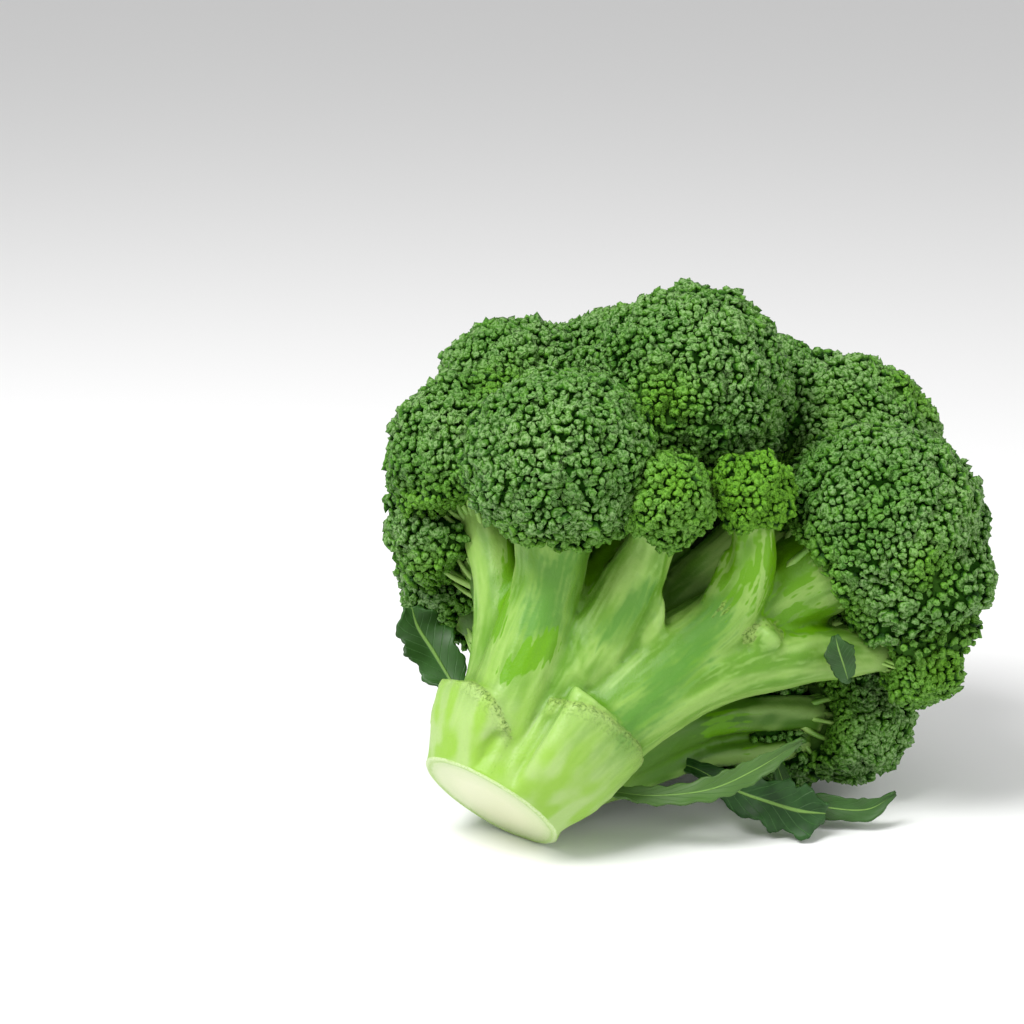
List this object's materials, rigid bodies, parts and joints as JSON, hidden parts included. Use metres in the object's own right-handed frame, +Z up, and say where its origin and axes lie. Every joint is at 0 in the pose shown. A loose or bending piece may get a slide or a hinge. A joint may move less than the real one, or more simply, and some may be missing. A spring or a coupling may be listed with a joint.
{
  "type": "broccoli head",
  "caption": "Cut head of green broccoli lying on its side, with bud-covered florets on a thick branched stalk and a few small leaves.",
  "frame": {"origin": "centre of the bounding box in X and Y, on the surface that the head lies on", "axes": "+Z up from the surface, +Y away from the viewer of the picture, +X to the viewer's right, along the longest extent"},
  "size_m": [0.151, 0.1317, 0.1318],
  "materials": {
    "stalk": "waxy, semi-matte",
    "buds": "matte, granular",
    "leaf": "waxy, semi-matte"
  },
  "bodies": {
    "root": {"stalk": "stalk", "floret_front_left": "buds", "floret_left": "buds", "floret_left_upper": "buds", "floret_left_back": "buds", "floret_left_low": "buds", "floret_back_low": "buds", "floret_under": "buds", "floret_under_right": "buds", "floret_right_low": "buds", "floret_right_rim": "buds", "floret_right": "buds", "floret_right_back": "buds", "floret_front_top": "buds", "floret_top_right": "buds", "floret_top_left": "buds", "floret_apex": "buds", "floret_top_back": "buds", "floret_back_right": "buds", "floret_back": "buds", "floret_back_left": "buds", "floret_small_left": "buds", "floret_small_right": "buds", "leaf_long": "leaf", "leaf_broad": "leaf", "leaf_curled": "leaf", "leaf_left": "leaf", "leaf_bract": "leaf"}
  },
  "joints": []
}
